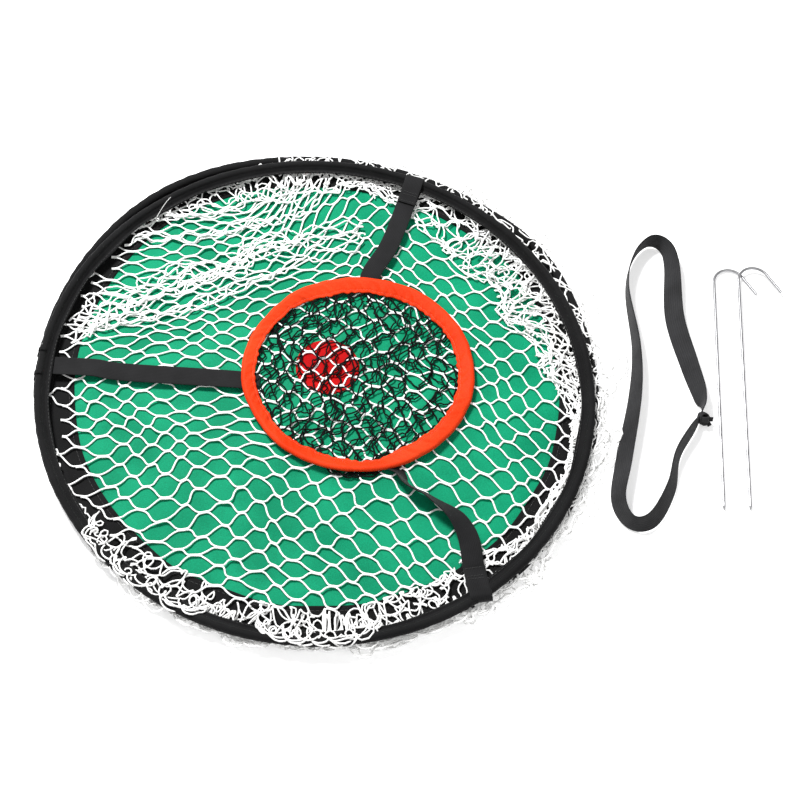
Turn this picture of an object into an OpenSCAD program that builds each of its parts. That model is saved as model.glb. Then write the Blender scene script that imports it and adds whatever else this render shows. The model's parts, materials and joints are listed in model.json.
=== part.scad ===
// Golf chipping net, folded flat. A round green backboard is sewn into a sprung wire hoop.
// A second wire hoop lies on it, held by two webbing loops that act as the hinge, and knotted
// netting joins the two hoops. Three straps hang a target ring with a pocket net inside the
// second hoop. Two ground pegs and a knotted elastic storage band lie beside the net.
// Origin: centre of the base hoop, on the ground. +X points away from the hinge, +Z is up.

/* [Base] */
// Radius to the outer edge of the base hoop
base_r = 280; // [276:0.5:283]
// Radius of the sewn tunnel that covers the base hoop
base_tunnel_r = 4.5; // [4.3:0.05:4.5]
// Width of the black border, from the outer edge inwards
border_w = 39; // [36:1:60]
// Diameter of the round target patch
dot_d = 64; // [20:1:120]
// Place of the target patch on the backboard
dot_at = [11, 12]; // [-60:1:60]

/* [Upper hoop] */
// Radius to the outer edge of the upper hoop
top_r = 275; // [273:0.5:276]
// Centre of the upper hoop, which lies a little off the base hoop
top_at = [-1, -8]; // [-12:0.5:0]
// Height of the upper hoop's wire above the ground
top_z = 15; // [15:0.5:17]
// Width of the sleeve's flat flap, inwards from the wire
top_flap_w = 10; // [8:1:16]
// Angle around the hoop where it hinges, and where the first strap is sewn
hinge_at = 177.6; // [175:0.1:180]

/* [Target ring] */
// Radius to the outer edge of the target ring
ring_r = 114.5; // [100:0.5:125]
// Centre of the target ring
ring_at = [42, 5]; // [0:0.5:50]
// Height of the target ring's wire above the ground
ring_z = 8; // [8:0.5:10]
// Width of the ring sleeve's flat flap, inwards from the wire
ring_flap_w = 12; // [8:1:16]

/* [Straps] */
// Width of the strap webbing
strap_w = 20; // [18:1:22]
// Thickness of the strap webbing
strap_t = 1; // [0.8:0.1:1]
// Angles around the upper hoop of the second and third strap
strap_hoop_angles = [67, -56]; // [-180:1:180]
// Angles around the target ring where the three straps arrive
strap_ring_angles = [185, 83, -72]; // [-180:1:360]

/* [Ground pegs] */
// Diameter of the peg wire
peg_d = 3; // [2:0.5:4]
// Length of the straight shaft
peg_shaft = 257; // [200:1:280]
// Radius of the bend at the top, to the middle of the wire
peg_bend_r = 16; // [10:1:18]
// Angle that the bend turns through
peg_bend = 146; // [120:1:170]
// Length of the short return leg
peg_leg = 25; // [20:1:40]
// Distance from one peg to the next
peg_pitch = 25; // [25:1:60]

/* [Storage band] */
// Width of the band as it lies
band_w = 11; // [6:1:12]
// Height that the twisted band stands to
band_h = 11; // [6:1:16]
// Radius of the knot
knot_r = 8; // [6:0.5:8]

/* [Hidden] */
$fn = 96;

wire_r = 1.6;               // spring steel wire of all three hoops
wire_gap = 0.4;             // angle between the wire's two ends, hidden in the ferrule
ferrule_r = 2.5;            // outside of the crimped joining tube
ferrule_l = 24;
crimp_gap = 0.03;
tunnel_bore = 2.6;          // hollow that the wire and its ferrule lie in
sleeve_r = 4;               // outside of the upper hoop's and the ring's tunnel
flap_t = 1.6;               // two layers of sleeve fabric

base_wire_r = base_r - base_tunnel_r;
top_wire_r = top_r - sleeve_r;
ring_wire_r = ring_r - sleeve_r;

lip_w = 13.5;               // flat edge of the binding, inwards from the wire
panel_t = 0.55;             // green fabric, lying on the ground
border_z = [0.55, 1.55];    // underside and top of the border, sewn onto the green panel
seam_w = 9;                 // overlap of that seam
dot_t = 0.35;
net_z = [1.75, 2.75];       // the netting's lower layer
fringe_r = [283, 302];      // netting that bulges outside the hoops
fringe_z = [0.3, 8];
fringe_arc = [-100, 80];
gather_r = [214, 250];      // netting bunched inside the hoops
gather_z = [3.6, 9.2];

loop_gap = 0.5;             // room inside a strap loop, around the sleeve
loop_len = 44;              // from the wire to the end of the loop's stitching
strap_z = top_z - sleeve_r - loop_gap - strap_t;

hinge_offset = 13.5;        // from the middle of the strap to the middle of a hinge loop
hinge_loop_w = 4;
hinge_loop_t = 1;
hinge_slack = 1.2;          // lets the upper hoop roll inside the loops
hinge_mouth = [-60, 55];    // opening of the loop, from straight inwards, positive upwards

peg_at = [390.6, -141];     // tip end of the first shaft
peg_lean = 5;
peg_tip = 4;
peg_tip_r = 0.5;
peg_lift = 0.3;
peg_knuckle = 0.06;         // how far the wire swells where the straight and bent stretches meet
peg_tilt = 0.8;             // the second peg's hook rests on the first peg's return leg
band_lift = 0.4;
knot_at = [381, -50];

// The storage band's centreline, one point for each place where it bends
band_points = [[354, 160], [368, 138], [367, 105], [367, 60], [374, 10], [380, -38],
               [366, -62], [347, -106], [331, -145], [309, -162], [291, -142], [298, -97],
               [314, -35], [321, 30], [320, 95], [332, 145]];
band_steps = 5;

// A point on a circle, from its centre, radius and angle
function at_angle(c, r, a) = [c[0] + r * cos(a), c[1] + r * sin(a)];

// One point of a smooth closed curve through points p, at t of the way from point i to i + 1
function curve_point(p, i, t) =
    let (n = len(p), a = p[(i + n - 1) % n], b = p[i], c = p[(i + 1) % n], d = p[(i + 2) % n])
    0.5 * (2 * b + (c - a) * t + (2 * a - 5 * b + 4 * c - d) * t * t
           + (3 * b - a - 3 * c + d) * t * t * t);

function closed_curve(p, steps) =
    [for (i = [0:len(p) - 1], s = [0:steps - 1]) curve_point(p, i, s / steps)];

// The same closed curve moved sideways by d, positive to the left of its direction
function moved_curve(c, d) =
    [for (i = [0:len(c) - 1])
        let (n = len(c), along = c[(i + 1) % n] - c[(i + n - 1) % n],
             side = [-along[1], along[0]] / norm(along))
        c[i] + d * side];

// A wire bent to an open circle, with its middle at height z
module hoop_wire(r, z, start) {
    rotate([0, 0, start + wire_gap / 2])
        rotate_extrude(angle = 360 - wire_gap) translate([r, z]) circle(wire_r);
}

// The crimped tube that joins the two ends of a hoop wire
module wire_ferrule(r, z, start) {
    arc = ferrule_l / r * 180 / PI;
    rotate([0, 0, start - arc / 2])
        rotate_extrude(angle = arc) translate([r, z]) difference() {
            circle(ferrule_r);
            circle(wire_r + crimp_gap);
        }
}

// A sewn sleeve around a hoop: a round tunnel for the wire and a flat flap inwards
module hoop_sleeve(r, z, flap_w) {
    rotate_extrude() difference() {
        union() {
            translate([r, z]) circle(sleeve_r);
            translate([r - flap_w, z - sleeve_r]) square([flap_w, flap_t]);
        }
        translate([r, z]) circle(tunnel_bore);
    }
}

// A flat ring of fabric
module flat_ring(r_in, r_out, z) {
    translate([0, 0, z[0]]) linear_extrude(z[1] - z[0]) difference() {
        circle(r_out);
        circle(r_in);
    }
}

module base_hoop_wire() {
    color("gray") hoop_wire(base_wire_r, base_tunnel_r, -140);
}

module base_wire_ferrule() {
    color("silver") wire_ferrule(base_wire_r, base_tunnel_r, -140);
}

module base_hoop_binding() {
    lip_z = border_z[1] + 0.55;
    color("black") rotate_extrude() difference() {
        union() {
            translate([base_wire_r, base_tunnel_r]) circle(base_tunnel_r);
            translate([base_wire_r - lip_w, 0]) square([lip_w, lip_z]);
        }
        translate([base_wire_r, base_tunnel_r]) circle(tunnel_bore);
        translate([base_wire_r - lip_w - 1, border_z[0]])
            square([lip_w - 4, border_z[1] - border_z[0]]);
    }
}

module base_border() {
    color("dimgray") flat_ring(base_r - border_w, base_wire_r - 5.5, border_z);
}

module green_panel() {
    color("seagreen") cylinder(r = base_r - border_w + seam_w, h = panel_t);
}

module target_dot() {
    color("red") translate([dot_at[0], dot_at[1], panel_t]) cylinder(d = dot_d, h = dot_t);
}

// One webbing loop: it grips the base hoop's binding from outside and holds the upper
// hoop loosely, with a mouth on the inner side so that the flap can swing up
module hinge_loop(angle) {
    p = at_angle(top_at, top_wire_r, angle);
    out = base_wire_r - norm(p);
    top_bore = sleeve_r + hinge_slack;
    base_bore = base_tunnel_r + 0.5;
    translate([p[0], p[1], 0]) rotate([90, 0, angle])
        translate([0, 0, -hinge_loop_w / 2]) linear_extrude(hinge_loop_w) difference() {
            union() {
                translate([0, top_z]) circle(top_bore + hinge_loop_t);
                translate([out, base_tunnel_r]) circle(base_bore + hinge_loop_t);
            }
            translate([0, top_z]) circle(top_bore);
            translate([out, base_tunnel_r]) circle(base_bore);
            translate([0, top_z]) polygon([
                [0, 0],
                at_angle([0, 0], 30, 180 - hinge_mouth[1]),
                at_angle([0, 0], 30, 180 - hinge_mouth[0])]);
            translate([out - 20, -5]) square([20, base_tunnel_r + 9]);
            translate([-20, -5]) square([60, 5.8]);
        }
}

module hinge_loops() {
    swing = hinge_offset / top_wire_r * 180 / PI;
    color("black") for (side = [-1, 1]) hinge_loop(hinge_at + side * swing);
}

module catch_net_floor() {
    color("white") translate([0, 0, net_z[0]])
        cylinder(r = base_wire_r - lip_w - 1, h = net_z[1] - net_z[0]);
}

module upper_hoop_wire() {
    color("gray") translate([top_at[0], top_at[1], 0]) hoop_wire(top_wire_r, top_z, 42);
}

module upper_wire_ferrule() {
    color("silver") translate([top_at[0], top_at[1], 0]) wire_ferrule(top_wire_r, top_z, 42);
}

module upper_hoop_sleeve() {
    color("black") translate([top_at[0], top_at[1], 0])
        hoop_sleeve(top_wire_r, top_z, top_flap_w);
}

// Side view of a strap's sewn end, with the hoop's wire at [0, top_z] and inwards along +X
module strap_loop_profile(gap) {
    drop = gap + sleeve_r;
    translate([0, top_z]) circle(drop);
    polygon([[0, top_z - drop], [0, top_z + drop],
             [loop_len - 10 + gap, strap_z + strap_t + gap], [loop_len - 10, top_z - drop]]);
}

// The flat run of a strap, from a point near the hoop to the edge of the target ring
module strap_run(start, ring_angle, overlap) {
    span = at_angle(ring_at, ring_r + 2, ring_angle) - start;
    translate([start[0], start[1], strap_z + strap_t / 2])
        rotate([0, 0, atan2(span[1], span[0])]) translate([-overlap, -strap_w / 2 + 0.2, 0])
            cube([norm(span) + overlap, strap_w - 0.4, strap_t]);
}

// A strap sewn in a loop around the upper hoop's sleeve
module looped_strap(hoop_angle, ring_angle) {
    p = at_angle(top_at, top_wire_r, hoop_angle);
    color("#202020") {
        translate([p[0], p[1], 0]) rotate([90, 0, hoop_angle + 180])
            translate([0, 0, -strap_w / 2]) linear_extrude(strap_w) {
                difference() {
                    strap_loop_profile(loop_gap + strap_t);
                    strap_loop_profile(loop_gap);
                }
                translate([loop_len - 12, strap_z]) square([12, 2 * strap_t]);
            }
        strap_run(at_angle(top_at, top_wire_r - loop_len, hoop_angle), ring_angle, 4);
    }
}

// The strap at the hinge is sewn flat to the underside of the sleeve
module strap_left() {
    color("#202020")
        strap_run(at_angle(top_at, top_wire_r - 2, hinge_at), strap_ring_angles[0], 0);
}

module strap_upper() {
    looped_strap(strap_hoop_angles[0], strap_ring_angles[1]);
}

module strap_lower() {
    looped_strap(strap_hoop_angles[1], strap_ring_angles[2]);
}

// The slack part of the netting: a gathered ring inside the hoops and a fringe outside them
module catch_net_wall() {
    color("whitesmoke") {
        flat_ring(gather_r[0], gather_r[1], gather_z);
        rotate([0, 0, fringe_arc[0]])
            rotate_extrude(angle = fringe_arc[1] - fringe_arc[0])
                translate([fringe_r[0], fringe_z[0]])
                    square([fringe_r[1] - fringe_r[0], fringe_z[1] - fringe_z[0]]);
    }
}

module ring_wire() {
    color("gray") translate([ring_at[0], ring_at[1], 0]) hoop_wire(ring_wire_r, ring_z, 100);
}

module ring_wire_ferrule() {
    color("silver") translate([ring_at[0], ring_at[1], 0]) wire_ferrule(ring_wire_r, ring_z, 100);
}

module ring_sleeve() {
    color("orangered") translate([ring_at[0], ring_at[1], 0])
        hoop_sleeve(ring_wire_r, ring_z, ring_flap_w);
}

module pocket_net() {
    color("#303030") translate([ring_at[0], ring_at[1], 3.05])
        cylinder(r = ring_wire_r - ring_flap_w + 6, h = ring_z - sleeve_r - 3.1);
}

// A wire peg lying flat, its shaft along +Y from a pointed tip, with a splayed hook
module ground_peg(tilt) {
    r = peg_d / 2;
    rotate([0, 0, -peg_lean]) translate([0, 0, r + peg_lift]) rotate([tilt, 0, 0]) {
        rotate([-90, 0, 0]) rotate_extrude()
            polygon([[0, -peg_tip], [peg_tip_r, -peg_tip], [r, 0], [r, peg_shaft], [0, peg_shaft]]);
        translate([0, peg_shaft, 0]) sphere(r + peg_knuckle);
        translate([peg_bend_r, peg_shaft, 0]) rotate([0, 0, 180 - peg_bend]) {
            rotate_extrude(angle = peg_bend) translate([peg_bend_r, 0]) circle(r);
            translate([peg_bend_r, 0, 0]) sphere(r + peg_knuckle);
            translate([peg_bend_r, 0, 0]) rotate([90, 0, 0]) cylinder(r = r, h = peg_leg);
        }
    }
}

module ground_peg_1() {
    color("silver") translate([peg_at[0], peg_at[1], 0]) ground_peg(0);
}

module ground_peg_2() {
    color("silver") translate([peg_at[0] + peg_pitch, peg_at[1], 0]) ground_peg(peg_tilt);
}

module storage_band() {
    centreline = closed_curve(band_points, band_steps);
    color("#252525") {
        translate([0, 0, band_lift]) linear_extrude(band_h) difference() {
            polygon(moved_curve(centreline, band_w / 2));
            polygon(moved_curve(centreline, -band_w / 2));
        }
        translate([knot_at[0], knot_at[1], knot_r + band_lift]) sphere(knot_r);
    }
}

base_hoop_wire();
base_wire_ferrule();
base_hoop_binding();
base_border();
green_panel();
target_dot();
hinge_loops();
catch_net_floor();
upper_hoop_wire();
upper_wire_ferrule();
upper_hoop_sleeve();
strap_left();
strap_upper();
strap_lower();
catch_net_wall();
ring_wire();
ring_wire_ferrule();
ring_sleeve();
pocket_net();
ground_peg_1();
ground_peg_2();
storage_band();
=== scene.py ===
import json
import math

import bpy
import numpy as np
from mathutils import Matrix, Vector


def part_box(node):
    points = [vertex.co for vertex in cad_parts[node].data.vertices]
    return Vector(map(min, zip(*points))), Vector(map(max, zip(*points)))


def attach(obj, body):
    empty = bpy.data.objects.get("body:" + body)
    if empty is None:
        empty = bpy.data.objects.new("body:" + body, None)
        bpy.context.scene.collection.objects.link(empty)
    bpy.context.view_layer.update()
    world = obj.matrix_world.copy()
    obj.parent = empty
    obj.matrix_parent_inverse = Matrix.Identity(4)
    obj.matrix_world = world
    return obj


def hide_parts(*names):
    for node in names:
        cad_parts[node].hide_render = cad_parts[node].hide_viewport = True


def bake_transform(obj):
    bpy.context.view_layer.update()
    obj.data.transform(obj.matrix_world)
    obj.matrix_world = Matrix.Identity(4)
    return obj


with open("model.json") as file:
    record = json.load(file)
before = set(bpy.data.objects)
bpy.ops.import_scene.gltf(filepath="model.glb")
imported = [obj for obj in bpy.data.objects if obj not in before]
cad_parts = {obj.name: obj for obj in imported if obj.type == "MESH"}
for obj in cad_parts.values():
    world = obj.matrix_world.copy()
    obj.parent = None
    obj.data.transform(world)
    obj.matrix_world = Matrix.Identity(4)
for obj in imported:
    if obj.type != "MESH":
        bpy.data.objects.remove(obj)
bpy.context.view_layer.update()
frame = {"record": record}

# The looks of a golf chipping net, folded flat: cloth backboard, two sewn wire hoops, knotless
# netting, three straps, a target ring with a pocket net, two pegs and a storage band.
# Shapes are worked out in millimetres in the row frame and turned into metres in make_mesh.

MM = 0.001
UP = np.array([0.0, 0.0, 1.0])


# ---- sizes taken from the frame

def box_mm(node):
    """Lowest and highest corner of a CAD node, in millimetres."""
    low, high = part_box(node)
    return np.array(low) / MM, np.array(high) / MM


class Hoop:
    """A sewn hoop: centre, radius r and height z of its wire, and the bead, its tunnel's radius.

    A bulge is where a slack hoop lies outside its circle: by what part of its radius, at
    what angle in degrees, and how wide.
    """

    def __init__(self, node, oval=(0.0, 0.0), bulges=()):
        low, high = box_mm(node)
        self.bead = (high[2] - low[2]) / 2
        self.centre = (low[:2] + high[:2]) / 2
        self.r = (high[0] - low[0]) / 2 - self.bead
        self.z = low[2] + self.bead
        self.low, self.top = low[2], high[2]
        self.oval = oval
        self.bulges = bulges

    def at(self, angle, r, z):
        """Points at an angle in degrees, a radius and a height, about the hoop's centre."""
        a = np.radians(angle)
        r = r * (1 + self.oval[0] * np.cos(2 * a) + self.oval[1] * np.sin(2 * a))
        for size, where, width in self.bulges:
            r = r + size * self.r * (r / self.r) ** 2 * bump_at(angle, where, width)
        x = self.centre[0] + r * np.cos(a)
        y = self.centre[1] + r * np.sin(a)
        return np.stack(np.broadcast_arrays(x, y, z), -1)


BASE = Hoop("base_hoop_binding", bulges=((0.031, 124, 25), (0.024, 33, 16)))
ROUND_BASE = Hoop("base_hoop_binding")
UPPER = Hoop("upper_hoop_sleeve")
RING = Hoop("ring_sleeve", oval=(0.014, 0.010))

PANEL_R = box_mm("green_panel")[1][0]
PANEL_TOP = box_mm("green_panel")[1][2]
BORDER_TOP = box_mm("base_border")[1][2]
SEAM_OVERLAP = 9.0
BORDER_IN = PANEL_R - SEAM_OVERLAP
NET_R = box_mm("catch_net_floor")[1][0]

JOINTS = {j["name"]: j for j in frame["record"]["behaviour"]["joints"]}
HINGE_AT = np.array(JOINTS["hoop_fold"]["pos_m"]) / MM
HINGE_AXIS = np.array(JOINTS["hoop_fold"]["axis"])
HINGE_OPEN = math.radians(JOINTS["hoop_fold"]["range_deg"][1])

# Angle around the upper hoop where it hinges and where the left strap is sewn
HINGE_ANGLE = math.degrees(math.atan2(HINGE_AT[1] - UPPER.centre[1], HINGE_AT[0] - UPPER.centre[0]))
STRAP_W = 20.0
STRAP_T = 1.0
WIRE_R = 1.6

# How far the slack hoops are stretched out of round, and in which direction
OVAL = 0.0233
OVAL_TURN = math.radians(-38)


# ---- small maths helpers

def smooth(t):
    t = np.clip(t, 0.0, 1.0)
    return t * t * (3 - 2 * t)


def mix(a, b, t):
    return a + (b - a) * t


def hump(x, where, width):
    """1 where x is at `where`, fading to 0 about `width` away."""
    return np.exp(-((x - where) / width) ** 2)


def turned(x, y, angle):
    """A pair of coordinates turned by an angle in radians."""
    c, s = np.cos(angle), np.sin(angle)
    return x * c - y * s, x * s + y * c


class Ripple:
    """Smooth seeded noise of about unit size, whose bumps are about `size` apart."""

    def __init__(self, seed, size):
        waves = 9
        rng = np.random.default_rng(seed)
        length = size * rng.uniform(0.75, 1.6, waves)
        turn = rng.uniform(0, 2 * math.pi, waves)
        self.k = 2 * math.pi / length[:, None] * np.stack([np.cos(turn), np.sin(turn)], -1)
        self.phase = rng.uniform(0, 2 * math.pi, waves)
        self.gain = math.sqrt(2 / waves)

    def __call__(self, x, y):
        x, y = np.broadcast_arrays(np.asarray(x, float), np.asarray(y, float))
        total = sum(np.sin(k[0] * x + k[1] * y + p) for k, p in zip(self.k, self.phase))
        return total * self.gain


class RoundRipple:
    """Smooth seeded noise around a circle, in degrees, with bumps about `size` degrees apart."""

    def __init__(self, seed, size):
        waves = 7
        rng = np.random.default_rng(seed)
        self.n = np.maximum(1, np.round(360 / size * rng.uniform(0.6, 1.3, waves)))
        self.phase = rng.uniform(0, 2 * math.pi, waves)
        self.gain = math.sqrt(2 / waves)

    def __call__(self, angle):
        a = np.radians(np.asarray(angle, float))
        return sum(np.sin(n * a + p) for n, p in zip(self.n, self.phase)) * self.gain


def bump_at(angle, where, width):
    """1 at an angle in degrees, fading to 0 about `width` degrees away."""
    off = (np.asarray(angle, float) - where + 180) % 360 - 180
    return hump(off, 0, width)


def between(angle, start, end, fade):
    """1 from start to end, anticlockwise in degrees, fading over `fade` degrees outside."""
    span = (end - start) % 360
    off = (np.asarray(angle, float) - start) % 360
    outside = np.where(off <= span, 0.0, np.minimum(off - span, 360 - off))
    return 1 - smooth(outside / fade)


def curve(points, steps, closed=False):
    """A smooth curve through rows of numbers, with `steps` points to each stretch."""
    p = np.asarray(points, float)
    p = np.concatenate([p[-1:], p, p[:2]] if closed else [p[:1], p, p[-1:]])
    t = (np.arange(steps) / steps)[:, None]
    rows = [0.5 * (2 * b + (c - a) * t + (2 * a - 5 * b + 4 * c - d) * t ** 2
                   + (3 * b - a - 3 * c + d) * t ** 3) for a, b, c, d in zip(p, p[1:], p[2:], p[3:])]
    return np.concatenate(rows if closed else [*rows, p[-1:]])


def arc(out, z, r, start, end, count):
    """Points of an arc, as distance out and height, from its middle, radius and end angles."""
    a = np.radians(np.linspace(start, end, count))
    return np.column_stack([out + r * np.cos(a), z + r * np.sin(a)])


def unit(v):
    return v / np.maximum(np.linalg.norm(v, axis=-1, keepdims=True), 1e-9)


def distances(path):
    """How far along a path each of its points is."""
    return np.concatenate([[0.0], np.cumsum(np.linalg.norm(np.diff(path, axis=0), axis=1))])


def tangents(path, closed=False):
    if closed:
        return unit(np.roll(path, -1, 0) - np.roll(path, 1, 0))
    return unit(np.gradient(path, axis=0))


# ---- mesh helpers

def lie_oval(p):
    """Moves points of the net to where it lies: its slack hoops are stretched a little oval."""
    c, s = OVAL * math.cos(2 * OVAL_TURN), OVAL * math.sin(2 * OVAL_TURN)
    q = np.array(p, float)
    q[:, 0] = p[:, 0] * (1 + c) + p[:, 1] * s
    q[:, 1] = p[:, 1] * (1 - c) + p[:, 0] * s
    return q


def place(obj, body, node=None):
    """Puts a finished piece on a body and in place of a CAD node."""
    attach(obj, body)
    if node:
        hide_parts(node)


def make_mesh(name, points, faces, corner_uv, material, slack=True):
    """A smooth-shaded object from points in millimetres and one UV pair, in mm, per corner."""
    points = np.asarray(points)
    if slack:
        points = lie_oval(points)
    mesh = bpy.data.meshes.new(name)
    mesh.from_pydata((points * MM).tolist(), [], faces)
    layer = mesh.uv_layers.new(name="weave")
    layer.data.foreach_set("uv", np.asarray(corner_uv, np.float32).ravel())
    mesh.polygons.foreach_set("use_smooth", np.ones(len(mesh.polygons), bool))
    mesh.materials.append(material)
    mesh.update()
    obj = bpy.data.objects.new(name, mesh)
    bpy.context.scene.collection.objects.link(obj)
    return obj


def corner_uvs(uv_at):
    """UV pairs of quads, where uv_at(a, b) is that of the corner a and b steps from the first."""
    return np.stack([uv_at(a, b) for a, b in ((0, 0), (1, 0), (1, 1), (0, 1))], 1).reshape(-1, 2)


def outline(a, *parts):
    """Joins parts of an outline side by side, with one row for each angle in the column a."""
    return np.concatenate([part + 0 * a for part in parts], 1)


def grid_faces(n_u, n_v, closed_u, closed_v, first=0):
    """Quads of an n_u by n_v grid of points, with the cell numbers of each quad."""
    i, j = np.meshgrid(np.arange(n_u - (not closed_u)), np.arange(n_v - (not closed_v)),
                       indexing="ij")
    i, j = i.ravel(), j.ravel()
    i2, j2 = (i + 1) % n_u, (j + 1) % n_v
    quads = np.stack([i * n_v + j, i2 * n_v + j, i2 * n_v + j2, i * n_v + j2], -1) + first
    return quads, i, j


def lengths(grid, axis, closed):
    """Distance along a grid's rows or columns, averaged, with one extra entry if closed."""
    g = np.moveaxis(grid, axis, 0)
    if closed:
        g = np.concatenate([g, g[:1]])
    step = np.linalg.norm(np.diff(g, axis=0), axis=-1).mean(1)
    return np.concatenate([[0.0], np.cumsum(step)])


def sheet(name, grid, material, closed_u=False, closed_v=False, slack=True):
    """One surface from a grid of points; its UVs run along both directions in millimetres."""
    n_u, n_v = grid.shape[:2]
    quads, i, j = grid_faces(n_u, n_v, closed_u, closed_v)
    u, v = lengths(grid, 0, closed_u), lengths(grid, 1, closed_v)
    uv = corner_uvs(lambda a, b: np.stack([u[i + a], v[j + b]], -1))
    faces = quads.tolist()
    if closed_v and not closed_u:
        faces += [list(range(n_v))[::-1], list(range((n_u - 1) * n_v, n_u * n_v))]
        uv = np.concatenate([uv, np.zeros((2 * n_v, 2))])
    return make_mesh(name, grid.reshape(-1, 3), faces, uv, material, slack)


def cords(name, strands, radius, material, sides=6, flat=1.0):
    """Many cords as one mesh: each strand is a list of points, swept with a round section."""
    step = 2 * math.pi / sides
    ring = np.arange(sides) * step
    points, faces, uvs, first = [], [], [], 0
    for s, strand in enumerate(strands):
        strand = np.asarray(strand)
        if len(strand) < 3:
            continue
        t = tangents(strand)
        across = np.cross(t, UP)
        weak = np.linalg.norm(across, axis=-1) < 0.15
        across[weak] = np.cross(t[weak], [0.6, 0.8, 0.0])
        across = unit(across)
        up = np.cross(across, t)
        r = radius[s] if isinstance(radius, (list, tuple)) else radius
        r = np.broadcast_to(r, len(strand))[:, None, None]
        grid = (strand[:, None] + r * np.cos(ring)[None, :, None] * across[:, None]
                + r * flat * np.sin(ring)[None, :, None] * up[:, None])
        n = len(strand)
        quads, i, j = grid_faces(n, sides, False, True, first)
        u = distances(strand)
        points.append(grid.reshape(-1, 3))
        faces += quads.tolist()
        faces.append(list(range(first + sides - 1, first - 1, -1)))
        faces.append(list(range(first + (n - 1) * sides, first + n * sides)))
        uvs += [corner_uvs(lambda a, b: np.stack([u[i + a], (j + b) * step], -1)), np.zeros((2 * sides, 2))]
        first += n * sides
    return make_mesh(name, np.concatenate(points), faces, np.concatenate(uvs), material)


def ribbon(name, path, across, width, thick, material, closed=False, slack=True):
    """A strap: a flat section with rounded edges, swept along a path."""
    edge = min(thick, 1.2)
    top = np.linspace(-1, 1, 7)
    turn = np.linspace(math.pi / 2, -math.pi / 2, 5)[1:-1]
    section = [(x, 0.0, thick / 2) for x in top]
    section += [(1, edge * math.cos(a), thick / 2 * math.sin(a)) for a in turn]
    section += [(x, 0.0, -thick / 2) for x in top[::-1]]
    section += [(-1, -edge * math.cos(a), -thick / 2 * math.sin(a)) for a in turn]
    section = np.array(section)
    t = tangents(path, closed)
    across = unit(across - (across * t).sum(-1, keepdims=True) * t)
    normal = np.cross(t, across)
    reach = (np.broadcast_to(width, len(path)) / 2 - edge)[:, None]
    side = section[None, :, 0] * reach + section[None, :, 1]
    grid = path[:, None] + side[..., None] * across[:, None] + section[None, :, 2, None] * normal[:, None]
    return sheet(name, grid, material, closed_u=closed, closed_v=True, slack=slack)


def stitches(name, path, lift, material, length=3.0, gap=1.4, radius=0.28):
    """A row of short thread stitches along a path; `lift` is how far each one stands up."""
    s = distances(path)
    arch = np.array([-0.6, 0.5, 1.0, 0.5, -0.6])
    rows = []
    for start in np.arange(0, s[-1] - length, length + gap):
        at = start + np.linspace(0, length, 5)
        p = np.stack([np.interp(at, s, path[:, k]) for k in range(3)], -1)
        rows.append(p + np.asarray(lift) * arch[:, None])
    return cords(name, rows, radius, material, sides=5)


ROUND = np.linspace(0, 360, 900)


def round_stitches(name, hoop, r, z, body):
    """A row of black stitches all round a hoop."""
    place(stitches(name, hoop.at(ROUND, r, z), (0, 0, 0.3), BLACK_THREAD), body)


def join(name, objects):
    """Makes one object of several that hold the same kind of mesh."""
    bpy.ops.object.select_all(action="DESELECT")
    for o in objects:
        o.select_set(True)
    bpy.context.view_layer.objects.active = objects[0]
    bpy.ops.object.join()
    objects[0].name = name
    objects[0].data.name = name
    return objects[0]


# ---- materials

class Graph:
    """A node material with a Principled shader, built from short calls."""

    def __init__(self, name):
        self.material = bpy.data.materials.new(name)
        self.material.use_nodes = True
        self.tree = self.material.node_tree
        self.shader = self.tree.nodes["Principled BSDF"]
        self.uv = self.add("UVMap", uv_map="weave").outputs["UV"]
        self.place = self.add("TexCoord").outputs["Object"]

    def feed(self, socket, value):
        if isinstance(value, bpy.types.NodeSocket):
            self.tree.links.new(value, socket)
        else:
            socket.default_value = value

    def add(self, kind, values=(), **settings):
        node = self.tree.nodes.new("ShaderNode" + kind)
        for key, value in settings.items():
            if key in node.inputs:
                self.feed(node.inputs[key], value)
            else:
                setattr(node, key, value)
        for socket, value in zip(node.inputs, values):
            if value is not None:
                self.feed(socket, value)
        return node

    def math(self, operation, *values):
        return self.add("Math", values, operation=operation).outputs[0]

    def scaled(self, value, factor, offset):
        return self.math("MULTIPLY_ADD", value, factor, offset)

    def weighted(self, a, share, b):
        """The given share of a, and of b what is left."""
        return self.scaled(a, share, self.math("MULTIPLY", b, 1 - share))

    def stripes(self, pitch, direction="X", vector=None):
        """Soft stripes across U or V, `pitch` mm apart."""
        wave = self.add("TexWave", Vector=vector or self.uv, Scale=2 * math.pi / (20 * pitch),
                        bands_direction=direction)
        return wave.outputs["Fac"]

    def noise(self, scale, detail):
        return self.add("TexNoise", Vector=self.place, Scale=scale, Detail=detail).outputs["Fac"]

    def colours(self, fac, dark, light, low=0.3, high=0.7):
        ramp = self.add("ValToRGB", (fac,))
        ramp.color_ramp.elements[0].position = low
        ramp.color_ramp.elements[0].color = (*dark, 1)
        ramp.color_ramp.elements[1].position = high
        ramp.color_ramp.elements[1].color = (*light, 1)
        return ramp.outputs["Color"]

    def bump(self, height, distance, strength=1.0, normal=None):
        node = self.add("Bump", Height=height, Distance=distance, Strength=strength)
        if normal is not None:
            self.feed(node.inputs["Normal"], normal)
        return node.outputs["Normal"]

    def finish(self, colour, roughness, normal, **settings):
        self.feed(self.shader.inputs["Base Color"], colour)
        self.feed(self.shader.inputs["Roughness"], roughness)
        self.feed(self.shader.inputs["Normal"], normal)
        for key, value in settings.items():
            self.feed(self.shader.inputs[key.replace("_", " ")], value)
        return self.material


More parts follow.
